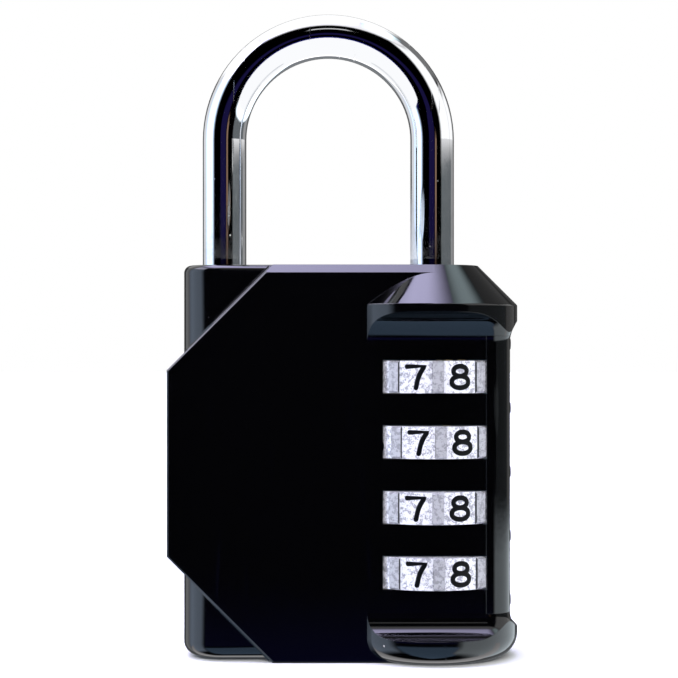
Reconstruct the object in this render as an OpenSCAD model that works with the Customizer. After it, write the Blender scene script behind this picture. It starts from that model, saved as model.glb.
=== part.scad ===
// Four-dial combination padlock with a lifting shackle. Millimetres, +Z up, front towards -Y.

/* [Body] */
// Height of the cast body
body_h = 48.5; // [40:0.1:60]
// Width over the panel's left edge and the round dial housing
body_w = 43.2; // [36:0.1:52]
// Thickness between the flat front and back faces
body_t = 13.4; // [12:0.1:16.2]
// Length that each 45 degree corner takes off the panel's left edge
panel_cut = 12.9; // [8:0.1:16]
// Width of the bevel around the panel
panel_bevel = 0.2; // [0.1:0.05:0.8]
// Depth of the corner blocks behind the panel, on each face
block_recess = 0.9; // [0.3:0.1:2]
// Distance of the corner blocks inside the panel's left edge
block_inset = 1.7; // [0.5:0.1:4]
// Height of the corner blocks' underside above the panel's
block_lift = 0.25; // [0:0.05:1]
// Radius of the corner blocks' upright edges
block_round = 4.8; // [1:0.1:5.5]
// Radius of the corner blocks' top edge
block_top_round = 0.9; // [0.2:0.1:2]
// Radius of the corner blocks' bottom edge
block_foot_round = 1.7; // [0.2:0.1:3]
// How far the corner blocks run on inside the panel
block_root = 4; // [2:0.5:6]

/* [Dial housing] */
// Radius of the round caps above and below the dials
cap_r = 10.6; // [9:0.1:13]
// Height of the cone on the upper cap
cone_h = 4.9; // [3:0.1:6]
// Radius of the lower cap's bottom edge
dome_r = 3; // [1:0.1:4]
// Height of the flat dial face's lower end
face_low = 6; // [5:0.1:8]
// Distance from the flat dial face's upper end to the top of the body
face_drop = 8.7; // [7.9:0.1:11]
// Distance of the outer dials' share of the face from its ends
face_margin = 1.02; // [0.5:0.01:2]
// Height of the hollows that end the dial face
hollow_r = 2.85; // [1:0.05:4]
// How far the upper hollow starts below the upper end of the dial face
hollow_start = 0.75; // [0:0.05:1]
// Distance of the flat right side inside the caps
side_inset = 1.2; // [0.8:0.1:1.6]
// Radius of the housing's upright edges
side_round = 3; // [1:0.1:4]
// Rounding of the upper cap's rim
rim_round = 0.3; // [0.1:0.05:0.6]

/* [Dials] */
// Distance of the dial ribs inside the caps
rib_inset = 1.5; // [1.4:0.05:2]
// Height of the ribs above the numbered facets
rib_h = 0.35; // [0.1:0.05:0.5]
// Width of each rib
rib_w = 1.35; // [0.6:0.05:2]
// Height of each dial
dial_h = 3.9; // [3:0.05:4.8]
// Bevel on the dial's outer edges
dial_bevel = 0.3; // [0.1:0.05:0.5]
// Clearance above and below each dial in its slot
slot_gap = 0.1; // [0.05:0.01:0.3]
// Clearance between the dial ribs and the slot wall
rib_gap = 0.1; // [0.05:0.01:0.3]
// Width of each reading window on the right side
window_w = 4.8; // [3:0.1:6]
// Height of the index bars between the reading windows
index_h = 1.3; // [0.6:0.1:2]
// Width of the index bars
index_w = 3.2; // [1:0.1:5]
// How far the index bars stand out
index_out = 0.3; // [0.1:0.05:0.6]

/* [Shackle] */
// Diameter of the shackle rod
shackle_d = 5.45; // [4:0.05:6.6]
// Height of the shackle above the body, over its crown
shackle_h = 31.4; // [24:0.1:60]
// Distance of the short leg's axis inside the panel's left edge
leg_inset = 6.66; // [6:0.01:9]
// Distance that the shackle lifts when the lock opens
lift = 6; // [5:0.1:6.5]
// How far short of the lift the short leg reaches into the body
toe_clear = 0.5; // [0.3:0.1:2]
// Rounding at the tip of the short leg
toe_round = 0.6; // [0.2:0.1:1]
// Space under the short leg's tip when the lock is shut
toe_gap = 0.6; // [0.3:0.1:1]
// Clearance between the rod and the holes that guide it
rod_gap = 0.08; // [0.03:0.01:0.1]
// Bevel at the mouth of the shackle holes
mouth_bevel = 0.35; // [0.1:0.05:0.6]

/* [Lockwork] */
// Depth of the grooves in the long leg
groove_depth = 1.12; // [0.8:0.01:1.4]
// Height of the code sleeves' teeth
tooth_h = 2.6; // [2:0.1:3]
// Width of the code sleeves' teeth
tooth_w = 1.8; // [1.2:0.1:2.4]
// Clearance between a tooth and the sides of its groove or channel
tooth_gap = 0.3; // [0.15:0.01:0.4]
// Clearance between a tooth and the floor of its groove
floor_gap = 0.1; // [0.05:0.01:0.2]
// Thickness of the code sleeves' wall
sleeve_wall = 1.7; // [1.2:0.1:2.2]
// Clearance between the rod and the sleeves, and the sleeves and the dials
turn_gap = 0.06; // [0.03:0.01:0.1]
// Clearance above the code sleeves
stack_gap = 0.15; // [0.1:0.05:0.4]
// How far the sleeves' lugs reach into the dials
lug_out = 0.65; // [0.4:0.05:1]
// Width of the lugs
lug_w = 1.6; // [1:0.1:2]
// Height of the lugs
lug_h = 1.15; // [0.8:0.05:1.6]
// Clearance around the lugs
lug_gap = 0.1; // [0.05:0.01:0.2]
// Height of the lugs' underside above the dial's
lug_rise = 0.1; // [0:0.05:0.5]
// Angle that each dial rests past its click, from the top dial down
dial_play = [2, 4.2, 2, 2.8];
// Thickness of the retaining ring on the long leg
ring_t = 0.8; // [0.5:0.1:1]
// Depth of the groove that holds the retaining ring
ring_seat = 0.35; // [0.2:0.05:0.5]
// Clearance between the retaining ring and the sleeves
ring_gap = 0.15; // [0.1:0.05:0.3]
// Opening of the retaining ring, as a share of the rod it grips
ring_mouth = 0.8; // [0.6:0.05:0.9]
// Length of the long leg below the retaining ring
ring_foot = 0.5; // [0.3:0.1:1]
// Thickness of the bottom plug
plug_t = 1; // [0.8:0.1:1.4]
// Height of the plug's underside above the bottom of the body
plug_sunk = 0.2; // [0:0.05:0.4]
// Height of the boss on the plug that centres the sleeve spring
boss_h = 0.4; // [0.2:0.1:0.6]
// Clearance between the boss and the sleeve spring
boss_gap = 0.3; // [0.1:0.1:0.6]
// Thickness of the washer on the sleeve spring
washer_t = 0.6; // [0.4:0.1:1]
// Clearance between the washer and its bore
washer_gap = 0.15; // [0.1:0.05:0.3]
// Clearance between the washer and the long leg
washer_hole_gap = 0.4; // [0.2:0.1:0.6]
// Wire diameter of the sleeve spring
wire_d = 0.8; // [0.5:0.1:1]
// Turns of the sleeve spring
coil_turns = 3; // [2:0.5:4]
// Clearance between the sleeve spring and what it presses on
coil_end_gap = 0.02; // [0.01:0.01:0.05]
// Clearance between the sleeve spring and its bore
coil_gap = 0.5; // [0.2:0.1:0.8]
// Thickness of the click springs
click_t = 0.3; // [0.2:0.05:0.4]
// Height of the click springs
click_h = 2.6; // [1.5:0.1:3]
// Length of the click springs
click_w = 8; // [6:0.1:9]
// Distance of the click springs behind the facets they press on
click_set = 0.55; // [0.4:0.05:0.8]
// Clearance around the click springs
click_gap = 0.2; // [0.1:0.05:0.3]
// Space behind a click spring's middle for it to flex in
click_flex = 0.45; // [0.3:0.05:0.6]
// Length of the ledge under each end of a click spring
click_ledge = 1; // [0.5:0.1:2]
// Half the width of a click spring's ridge at its foot
ridge_w = 0.9; // [0.6:0.1:1.2]
// Half the width of the ridge at its tip
tip_w = 0.25; // [0.1:0.05:0.4]
// Radius of the dowels that hold the side cover
dowel_r = 0.75; // [0.5:0.05:0.9]
// Depth of the dowels in the body
dowel_in = 2.4; // [1.5:0.1:3]
// Depth of the dowels in the side cover
dowel_out = 1.9; // [1:0.1:2.1]
// Wall between the dowels and the flat faces
dowel_skin = 1.35; // [1:0.05:2]
// Least wall between the dowels and the sleeve bore
dowel_wall = 0.3; // [0.2:0.05:0.6]
// Distance of the dowels inside the ends of the side cover
dowel_end = 1.38; // [1.2:0.02:2]

/* [Hidden] */
$fn = 96;
far = 100;
nudge = 0.05;
over = 1;
min_flat = 0.5;
press_gap = 0.03;
turn_steps = 24;

half_t = body_t / 2;
left_x = -body_w / 2;
dial_x = body_w / 2 - cap_r;
toe_x = left_x + leg_inset;
rod_r = shackle_d / 2;
bow_r = (dial_x - toe_x) / 2;
bow_z = body_h + shackle_h - rod_r - bow_r;

rim_z = body_h - cone_h;
cone_r = cap_r - cone_h;
face_top = body_h - face_drop;
side_off = cap_r - side_inset;
corner_r = min(side_round, half_t - min_flat);

dial_count = 4;
digits = 10;
pitch = (face_top - face_low - 2 * face_margin) / dial_count;
slot_h = dial_h + 2 * slot_gap;
rib_r = cap_r - rib_inset;
facet_r = rib_r - rib_h;
slot_r = rib_r + rib_gap;
seam_off = sqrt(slot_r * slot_r - half_t * half_t) - nudge;

sleeve_in = rod_r + turn_gap;
sleeve_out = sleeve_in + sleeve_wall;
lug_r = sleeve_out + lug_out;
dial_in = sleeve_out + turn_gap;
bore_r = lug_r + lug_gap;
sleeve_h = pitch - nudge;
bore_top = dial_z(1) + pitch / 2 + stack_gap;

groove_r = rod_r - groove_depth;
tooth_r = groove_r + floor_gap;
groove_h = tooth_h + 2 * tooth_gap;
seat_r = groove_r - ring_seat;
ring_top = dial_z(dial_count) - tooth_h / 2 - lift - nudge;
ring_r = sleeve_in - ring_gap;
rod_end = ring_top - ring_t - ring_foot;
sleeve_foot = dial_z(dial_count) - sleeve_h / 2;
washer_top = sleeve_foot - nudge;
plug_top = plug_sunk + plug_t;
coil_r = bore_r - wire_d / 2 - coil_gap;
toe_depth = lift - toe_clear;

block_half = half_t - block_recess;
post_r = min(block_round, block_half - min_flat);
click_x = dial_x - facet_r - click_set;
dowel_y = half_t - dowel_r - dowel_skin;
bore_edge = sqrt(max(0, bore_r * bore_r - (dowel_y - dowel_r) * (dowel_y - dowel_r)));
dowel_start = max(seam_off - dowel_in, bore_edge + dowel_wall);
dowel_z = [face_low + dowel_end, face_top - dowel_end];

// Height of a dial's middle, counted from the top dial down
function dial_z(n) = face_top - face_margin - (n - 0.5) * pitch;

// One ring of points of the spring's wire, at t turns
function wire_ring(t, rise, sides) = [
    for (j = [0:sides - 1])
        let (a = 360 * j / sides, r = coil_r + wire_d / 2 * cos(a))
        [r * cos(360 * t), r * sin(360 * t), rise * t + wire_d / 2 * sin(a)]
];

// Upright section whose outer corners are rounded, from the axis outwards
module rounded_section(reach, low, high, r_low, r_high) {
    translate([0, low + r_low]) square([reach, high - low - r_low - r_high]);
    translate([0, low]) square([reach - r_low, high - low]);
    translate([0, high - r_high - r_low]) square([reach - r_high, r_high + r_low]);
    translate([reach - r_low, low + r_low]) circle(r_low);
    translate([reach - r_high, high - r_high]) circle(r_high);
}

// Raised six-sided panel, as thick as the body
module panel() {
    top_bevel = max(panel_bevel, half_t - cone_r);
    intersection() {
        rotate([90, 0, 0]) linear_extrude(body_t, center = true)
            polygon([
                [left_x + panel_cut, 0], [dial_x, 0], [dial_x, body_h],
                [left_x + panel_cut, body_h], [left_x, body_h - panel_cut], [left_x, panel_cut]
            ]);
        rotate([90, 0, 90]) linear_extrude(far, center = true)
            polygon([
                [-half_t + panel_bevel, 0], [half_t - panel_bevel, 0], [half_t, panel_bevel],
                [half_t, body_h - top_bevel], [half_t - top_bevel, body_h],
                [top_bevel - half_t, body_h], [-half_t, body_h - top_bevel],
                [-half_t, panel_bevel]
            ]);
        edge_prism(0, [left_x, body_h / 2]);
        edge_prism(45, [left_x, body_h - panel_cut]);
        edge_prism(-45, [left_x, panel_cut]);
    }
}

// Long bar with both front edges bevelled, whose bevelled side runs through a point at a slant
module edge_prism(slant, point) {
    translate([point[0], 0, point[1]]) rotate([0, slant, 0])
        linear_extrude(2 * far, center = true)
            polygon([
                [far, -half_t], [panel_bevel, -half_t], [0, -half_t + panel_bevel],
                [0, half_t - panel_bevel], [panel_bevel, half_t], [far, half_t]
            ]);
}

// Rounded block behind the panel that shows at its two left corners
module corner_block() {
    x = left_x + block_inset + post_r;
    y = block_half - post_r;
    translate([x, 0, 0]) {
        rotate([90, 0, 90]) linear_extrude(panel_cut + block_root - post_r)
            for (s = [0, 1]) mirror([s, 0]) block_section(block_half);
        rotate([90, 0, 0]) linear_extrude(2 * y, center = true)
            mirror([1, 0]) block_section(post_r);
        for (s = [-1, 1]) translate([0, s * y, 0])
            rotate_extrude() block_section(post_r);
    }
}

module block_section(reach) {
    rounded_section(reach, block_lift, body_h, block_foot_round, block_top_round);
}

// Section of a wall that flares out in a hollow at both ends of the dial face
module flared_section(reach) {
    upper_r = hollow_r + hollow_start;
    upper_z = face_top - hollow_start;
    difference() {
        square([reach + far / 2, body_h]);
        translate([reach, face_low]) square([far, upper_z - face_low]);
        translate([reach + hollow_r, face_low - hollow_r]) square([far, body_h / 2]);
        translate([reach + upper_r, body_h / 2]) square([far, upper_z + upper_r - body_h / 2]);
        translate([reach + hollow_r, face_low]) circle(hollow_r);
        translate([reach + upper_r, upper_z]) circle(upper_r);
    }
}

// Section of the round caps: dome below, cone above with a rounded rim
module cap_section() {
    tangent = rim_round * tan(22.5);
    shoulder_z = rim_z - tangent;
    translate([0, dome_r]) square([cap_r, shoulder_z - dome_r]);
    square([cap_r - dome_r, shoulder_z]);
    translate([cap_r - dome_r, dome_r]) circle(dome_r);
    translate([cap_r - rim_round, shoulder_z]) circle(rim_round);
    polygon([
        [0, shoulder_z], [cap_r - rim_round, shoulder_z],
        [cap_r - tangent * cos(45), rim_z + tangent * sin(45)], [cone_r, body_h], [0, body_h]
    ]);
}

// The dial housing, solid, about its own axis
module housing() {
    x = side_off - corner_r;
    y = half_t - corner_r;
    intersection() {
        rotate_extrude() cap_section();
        union() {
            translate([-cap_r - over, 0, 0]) rotate([90, 0, 90]) linear_extrude(cap_r + over + x)
                for (s = [0, 1]) mirror([s, 0]) flared_section(half_t);
            rotate([90, 0, 0]) linear_extrude(2 * y, center = true) flared_section(side_off);
            for (s = [-1, 1]) translate([x, s * y, 0])
                rotate_extrude() flared_section(corner_r);
        }
    }
}

// Space to the right of the seam that the side cover fills
module cover_space() {
    translate([seam_off, -far / 2, face_low]) cube([far, far, face_top - face_low]);
}

// The four round slots that the dials turn in
module dial_slots() {
    for (n = [1:dial_count])
        translate([0, 0, dial_z(n) - slot_h / 2]) cylinder(slot_h, slot_r, slot_r);
}

// Dowels across the seam, grown at each end
module dowels(more) {
    for (z = dowel_z, y = [-dowel_y, dowel_y])
        translate([dowel_start - more, y, z]) rotate([0, 90, 0])
            cylinder(seam_off + dowel_out - dowel_start + 2 * more, dowel_r, dowel_r);
}

// Space for a click spring: a slit for its ends and a deeper middle for it to flex in
module click_space(n) {
    h = click_h + 2 * click_gap;
    w = click_w + 2 * click_gap;
    translate([click_x - click_t, 0, dial_z(n) - h / 2]) {
        translate([-click_t, -w / 2, 0]) cube([2 * click_t + click_gap, w, h]);
        translate([-click_t - click_flex, click_ledge - click_w / 2, 0])
            cube([slot_r, click_w - 2 * click_ledge, h]);
    }
}

// Guide hole for a shackle leg, with a bevelled mouth
module rod_hole(depth) {
    r = rod_r + rod_gap;
    translate([0, 0, body_h - depth]) cylinder(depth + over, r, r);
    translate([0, 0, body_h - mouth_bevel]) cylinder(2 * mouth_bevel, r, r + 2 * mouth_bevel);
}

// Bore that the code sleeves go up into, open at the bottom
module sleeve_bore() {
    translate([0, 0, -over]) cylinder(bore_top + over, bore_r, bore_r);
}

module body() {
    color("#17171b") difference() {
        union() {
            panel();
            corner_block();
            translate([dial_x, 0, 0]) housing();
        }
        translate([dial_x, 0, 0]) {
            cover_space();
            dial_slots();
            dowels(nudge);
            sleeve_bore();
            rod_hole(body_h - bore_top + over);
        }
        translate([toe_x, 0, 0]) rod_hole(toe_depth + toe_gap);
        for (n = [1:dial_count]) click_space(n);
    }
}

module side_cover() {
    color("#1b1b20") translate([dial_x, 0, 0]) {
        difference() {
            intersection() {
                housing();
                cover_space();
            }
            dial_slots();
            sleeve_bore();
            dowels(nudge);
            for (n = [1:dial_count])
                translate([slot_r - over, -window_w / 2, dial_z(n) - slot_h / 2])
                    cube([far, window_w, slot_h]);
        }
        for (n = [0:dial_count])
            translate([side_off - nudge, 0, dial_z(n) - pitch / 2]) index_bar();
    }
}

// Round-ended bar that stands out of the side cover
module index_bar() {
    y = (index_w - index_h) / 2;
    rotate([0, 90, 0]) linear_extrude(index_out + nudge) {
        square([index_h, 2 * y], center = true);
        for (s = [-1, 1]) translate([0, s * y]) circle(index_h / 2);
    }
}

module cover_dowels() {
    color("silver") translate([dial_x, 0, 0]) dowels(0);
}

module bottom_plug() {
    color("#222226") translate([dial_x, 0, plug_sunk]) {
        boss_r = coil_r - wire_d / 2 - boss_gap;
        cylinder(plug_t, bore_r, bore_r);
        cylinder(plug_t + boss_h, boss_r, boss_r);
    }
}

// Shackle rod: bow, short leg, and a long leg with grooves, channel and stem
module shackle() {
    toe_z = body_h - toe_depth;
    color("gainsboro") {
        translate([(dial_x + toe_x) / 2, 0, bow_z]) rotate([90, 0, 0])
            rotate_extrude(angle = 180) translate([bow_r, 0]) circle(rod_r);
        translate([toe_x, 0, toe_z]) {
            translate([0, 0, toe_round]) cylinder(bow_z - toe_z - toe_round, rod_r, rod_r);
            cylinder(toe_round, rod_r - toe_round, rod_r);
        }
        translate([dial_x, 0, 0]) difference() {
            translate([0, 0, rod_end]) cylinder(bow_z - rod_end, rod_r, rod_r);
            for (n = [1:dial_count]) groove(dial_z(n) - groove_h / 2, groove_h);
            for (n = [2:dial_count])
                groove(dial_z(n - 1) - lift - groove_h / 2, groove_h);
            groove(rod_end - over, dial_z(dial_count) - lift + groove_h / 2 - rod_end + over);
            translate([groove_r, -tooth_w / 2 - tooth_gap, rod_end - over])
                cube([rod_r, tooth_w + 2 * tooth_gap, dial_z(1) - rod_end + over]);
            translate([0, 0, ring_top - ring_t]) difference() {
                cylinder(ring_t, rod_r, rod_r);
                translate([0, 0, -over]) cylinder(ring_t + 2 * over, seat_r, seat_r);
            }
        }
    }
}

// Ring to take off the long leg, down to the groove radius
module groove(z, h) {
    translate([0, 0, z]) difference() {
        cylinder(h, rod_r + over, rod_r + over);
        translate([0, 0, -over]) cylinder(h + 2 * over, groove_r, groove_r);
    }
}

// Snap ring at the foot of the long leg, which stops the lift under the lowest tooth
module retaining_ring() {
    mouth = 2 * seat_r * ring_mouth;
    color("slategray") translate([dial_x, 0, ring_top - ring_t]) difference() {
        cylinder(ring_t, ring_r, ring_r);
        translate([0, 0, -over]) cylinder(ring_t + 2 * over, seat_r, seat_r);
        translate([-ring_r - over, -mouth / 2, -over])
            cube([ring_r + over, mouth, ring_t + 2 * over]);
    }
}

module spring_washer() {
    out_r = bore_r - washer_gap;
    in_r = rod_r + washer_hole_gap;
    color("silver") translate([dial_x, 0, washer_top - washer_t]) difference() {
        cylinder(washer_t, out_r, out_r);
        translate([0, 0, -over]) cylinder(washer_t + 2 * over, in_r, in_r);
    }
}

// Coil spring that holds the code sleeves up
module sleeve_spring() {
    sides = 10;
    steps = turn_steps * coil_turns;
    seat = wire_d / 2 + coil_end_gap;
    low = plug_top + seat;
    rise = (washer_top - washer_t - seat - low) / coil_turns;
    color("lightsteelblue") translate([dial_x, 0, low]) polyhedron(
        points = [for (i = [0:steps]) each wire_ring(coil_turns * i / steps, rise, sides)],
        faces = concat(
            [[for (j = [0:sides - 1]) j]],
            [for (i = [0:steps - 1], j = [0:sides - 1], k = [0, 1])
                let (a = i * sides + j, b = i * sides + (j + 1) % sides)
                k == 0 ? [a, a + sides, b] : [b, a + sides, b + sides]],
            [[for (j = [sides - 1:-1:0]) steps * sides + j]]
        )
    );
}

// Numbered dial: facets between ribs outside, notches for the sleeve's lugs inside
module dial(n) {
    color("lightgray") translate([dial_x, 0, dial_z(n)]) rotate([0, 0, dial_play[n - 1]])
        intersection() {
            linear_extrude(dial_h, center = true) dial_outline();
            rotate_extrude() polygon([
                [0, -dial_h / 2], [rib_r - dial_bevel, -dial_h / 2],
                [rib_r + dial_bevel, 1.5 * dial_bevel - dial_h / 2],
                [rib_r + dial_bevel, dial_h / 2 - 1.5 * dial_bevel],
                [rib_r - dial_bevel, dial_h / 2], [0, dial_h / 2]
            ]);
        }
}

module dial_outline() {
    difference() {
        union() {
            circle(facet_r);
            for (k = [0:digits - 1]) rotate((k + 0.5) * 360 / digits) intersection() {
                circle(rib_r);
                translate([facet_r - over, -rib_w / 2]) square([2 * over, rib_w]);
            }
        }
        circle(dial_in);
        for (k = [0:digits - 1]) rotate(k * 360 / digits) intersection() {
            circle(bore_r);
            translate([dial_in - over, -lug_w / 2 - lug_gap])
                square([lug_out + 2 * over, lug_w + 2 * lug_gap]);
        }
    }
}

// Code sleeve: a tube with two lugs outside and the locking tooth inside
module code_sleeve(n) {
    color("goldenrod") translate([dial_x, 0, dial_z(n)]) rotate([0, 0, dial_play[n - 1]]) {
        difference() {
            cylinder(sleeve_h, sleeve_out, sleeve_out, center = true);
            cylinder(sleeve_h + over, sleeve_in, sleeve_in, center = true);
        }
        translate([tooth_r, -tooth_w / 2, -tooth_h / 2])
            cube([sleeve_in + sleeve_wall / 2 - tooth_r, tooth_w, tooth_h]);
        translate([0, 0, lug_rise - dial_h / 2]) intersection() {
            root_r = (sleeve_in + sleeve_out) / 2;
            difference() {
                cylinder(lug_h, lug_r, lug_r);
                translate([0, 0, -over]) cylinder(lug_h + 2 * over, root_r, root_r);
            }
            translate([-far / 2, -lug_w / 2, -over]) cube([far, lug_w, lug_h + 2 * over]);
        }
    }
}

// Leaf spring that clicks between the dial's ribs
module click_spring(n) {
    b = click_set - press_gap;
    t = click_t;
    y = click_w / 2;
    color("steelblue") translate([click_x - t, 0, dial_z(n) - click_h / 2])
        linear_extrude(click_h) polygon([
            [0, -y], [t, -y], [t, -ridge_w], [t + b, -tip_w], [t + b, tip_w], [t, ridge_w],
            [t, y], [0, y], [0, ridge_w], [b, tip_w], [b, -tip_w], [0, -ridge_w]
        ]);
}

body();
side_cover();
cover_dowels();
bottom_plug();
shackle();
retaining_ring();
spring_washer();
sleeve_spring();
dial(1);  // dial_1
dial(2);  // dial_2
dial(3);  // dial_3
dial(4);  // dial_4
code_sleeve(1);  // code_sleeve_1
code_sleeve(2);  // code_sleeve_2
code_sleeve(3);  // code_sleeve_3
code_sleeve(4);  // code_sleeve_4
click_spring(1);  // click_spring_1
click_spring(2);  // click_spring_2
click_spring(3);  // click_spring_3
click_spring(4);  // click_spring_4
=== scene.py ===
"""Four-dial combination padlock: the finish, the numbers and the studio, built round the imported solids."""

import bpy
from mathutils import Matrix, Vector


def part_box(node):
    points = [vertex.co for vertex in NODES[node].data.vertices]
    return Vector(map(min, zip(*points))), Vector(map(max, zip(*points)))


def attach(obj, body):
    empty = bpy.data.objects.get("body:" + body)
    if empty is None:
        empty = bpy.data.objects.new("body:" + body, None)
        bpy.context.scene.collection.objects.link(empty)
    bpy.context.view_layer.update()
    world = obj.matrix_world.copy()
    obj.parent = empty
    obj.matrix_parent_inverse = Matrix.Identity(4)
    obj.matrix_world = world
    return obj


bl_info = {
    "name": "Four-dial Padlock",
    "version": (1, 0, 0),
    "blender": (4, 5, 0),
    "location": "View3D > Sidebar > Padlock",
    "description": "Builds the finish, the dial numbers and the enamel fillets of a combination padlock",
    "category": "Object",
}

import math

import bmesh
import bpy
from bpy.props import FloatProperty, FloatVectorProperty, IntProperty, PointerProperty, StringProperty
from mathutils import Matrix, Vector

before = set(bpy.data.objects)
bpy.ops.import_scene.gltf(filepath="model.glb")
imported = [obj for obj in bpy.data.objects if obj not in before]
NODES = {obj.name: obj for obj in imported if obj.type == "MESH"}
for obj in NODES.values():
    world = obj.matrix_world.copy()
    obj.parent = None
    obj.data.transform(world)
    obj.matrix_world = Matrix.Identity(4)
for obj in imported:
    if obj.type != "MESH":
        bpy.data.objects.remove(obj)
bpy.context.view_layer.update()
BODY_LOW, BODY_HIGH = (Vector(corner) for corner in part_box("body"))
DIAL_NAMES = [name for name in sorted(NODES) if name.startswith("dial_")]

MM = 0.001
BODY_TOP = BODY_HIGH.z
LEFT_X = BODY_LOW.x
CAP_R = (BODY_HIGH.y - BODY_LOW.y) / 2
DIAL_X = BODY_HIGH.x - CAP_R
HALF_T = 6.7 * MM
DIGITS = 10
FULL_TURN = 360

# Each number's strokes in a unit square: whether the stroke closes, and its points, each with a
# last value of 1 where the stroke turns sharply.
STROKES = (
    ((True, ((0.5, 1, 0), (0, 0.5, 0), (0.5, 0, 0), (1, 0.5, 0))),),
    ((False, ((0.2, 0.76, 1), (0.58, 1, 1), (0.58, 0, 1))),),
    ((False, ((0, 0.74, 0), (0.48, 1, 0), (0.94, 0.72, 0), (0.56, 0.34, 0), (0, 0, 1), (1, 0, 1))),),
    ((False, ((0.04, 0.86, 0), (0.48, 1, 0), (0.9, 0.77, 0), (0.45, 0.55, 1), (1, 0.28, 0), (0.5, 0, 0),
              (0, 0.16, 0))),),
    ((False, ((0.74, 0, 1), (0.74, 1, 1), (0, 0.3, 1), (1, 0.3, 1))),),
    ((False, ((0.92, 1, 1), (0.16, 1, 1), (0.08, 0.55, 1), (0.52, 0.64, 0), (1, 0.32, 0), (0.5, 0, 0),
              (0, 0.13, 0))),),
    ((False, ((0.6, 0.93, 0), (0.3, 0.92, 0), (0, 0.38, 0), (0.36, 0, 0), (0.72, 0.3, 0), (0.38, 0.57, 0),
              (0.03, 0.34, 0))),),
    ((False, ((0, 0.98, 1), (1, 1, 1), (0.7, 0.56, 0), (0.52, 0, 0))),),
    ((True, ((0.5, 1, 0), (0.1, 0.77, 0), (0.5, 0.54, 0), (0.9, 0.77, 0))),
     (True, ((0.5, 0.54, 0), (0, 0.27, 0), (0.5, 0, 0), (1, 0.27, 0)))),
    ((False, ((0.26, 0.07, 0), (0.56, 0.08, 0), (0.86, 0.62, 0), (0.5, 1, 0), (0.14, 0.7, 0), (0.48, 0.43, 0),
              (0.83, 0.66, 0))),),
)

# Half the floor's width, and how far it lies under the padlock
FLOOR_HALF = 2.0
FLOOR_DROP = 0.02 * MM
# The white card under the bow: its size, the place of its middle and its height over the body
CARD_SIZE = (140 * MM, 134 * MM)
CARD_Y = -53 * MM
CARD_RISE = 0.8 * MM

STRAIGHT_UP = (-30, -14, 16, 40)
BACK_TOP = (0, 20, 60, 70)
TO_FRONT = (-62, -50, 50, 62)
RIGHT_BACK = (138, 150, 400, 401)
LEFT_BACK = (-401, -400, -150, -138)
WHITE = (1.0, 1.0, 1.0)

# The studio's lights: what each is, its brightness or the studio value that sets it, its colour, and the two
# angles that hold it, each with the degrees at which it starts, is full, fades and has ended.
# side is round from the front to the right, turn is the same to either hand, and rise is up from level.
# across and over lean from straight up, to the right and to the back. under leans from straight down, to the
# back.
LIGHTS = (
    ("overhead", "top_light", (0.70, 0.67, 1.0), "across", (-38, -12, -6, 20), "over", STRAIGHT_UP),
    ("beside it", 2.8, (0.76, 0.94, 1.0), "across", (8, 22, 24, 35), "over", STRAIGHT_UP),
    ("front of the roof", 1.1, (1.0, 0.98, 1.0), "side", (-110, -100, 100, 110), "rise", (50, 58, 100, 101)),
    ("back of the roof", 1.2, WHITE, "across", (-60, -50, 22, 34), "over", BACK_TOP),
    ("back of the roof, right", 0.2, WHITE, "across", (22, 34, 50, 60), "over", BACK_TOP),
    ("left box", "side_light", (0.64, 0.78, 1.0), "side", (-132, -96, -68, -51), "rise", (-60, -40, 30, 44)),
    ("left wall", 0.85, (0.95, 0.97, 1.0), "side", (-146, -134, -96, -80), "rise", (-60, -40, 50, 60)),
    ("top of the left wall", 6.0, (0.8, 0.8, 1.0), "side", (-118, -102, -66, -52), "rise", (30, 38, 52, 60)),
    ("right wall", 1.2, WHITE, "side", (40, 52, 100, 110), "rise", (5.0, 6.4, 50, 60)),
    ("back of the right wall", 1.2, WHITE, "side", (98, 108, 130, 142), "rise", (5.0, 6.4, 22, 30)),
    ("right wall's end", 0.35, WHITE, "side", (112, 118, 140, 146), "rise", (-60, -40, 20, 30)),
    ("right wall's foot", 0.16, (0.85, 0.95, 1.0), "side", (44, 50, 118, 126), "rise", (-8, -3, 6, 8)),
    ("floor at right", 2.0, (0.84, 0.94, 1.0), "side", (30, 46, 144, 150), "rise", (-70, -50, -6.6, -4.4)),
    ("floor in front", 1.1, (0.42, 0.66, 1.0), "side", TO_FRONT, "rise", (-91, -90, -31, -22)),
    ("blue edge in front", 0.26, (0.1, 0.1, 1.0), "side", TO_FRONT, "rise", (-18, -14, -12, -7)),
    ("violet glow in front", 0.05, (0.2, 0.15, 1.0), "side", (-20, -16, 8, 11), "rise", (2.4, 3, 9, 14)),
    ("warm strip in front", 0.28, (1.0, 0.62, 0.42), "side", (12, 14, 19, 22), "rise", (2.4, 3, 6, 7)),
    ("lamp in front", 0.7, WHITE, "side", (-7, -5, 5, 7), "rise", (31, 33, 36, 38)),
    ("floor under the back", 2.0, (1.0, 0.98, 1.0), "under", (8, 20, 36, 44), "rise", (-91, -90, -20, -10)),
    ("foot of the back wall", 0.25, (0.9, 0.95, 1.0), "turn", RIGHT_BACK, "rise", (-60, -50, -12, -4)),
    ("back wall, right", 0.12, WHITE, "side", RIGHT_BACK, "rise", (-20, -12, 16, 26)),
    ("back wall, left", 0.12, WHITE, "side", LEFT_BACK, "rise", (-20, -12, 36, 46)),
)


# ---------------------------------------------------------------- sizes and colours


def length(name, text, default, low=0.0, high=1.0):
    """A size that the sidebar shows in the scene's length unit."""
    return FloatProperty(
        name=name, description=text, default=default, min=low, max=high, unit="LENGTH", precision=5
    )


def share(name, text, default, low=0.0, high=1.0):
    """A plain number, by default between nothing and all."""
    return FloatProperty(name=name, description=text, default=default, min=low, max=high)


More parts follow.
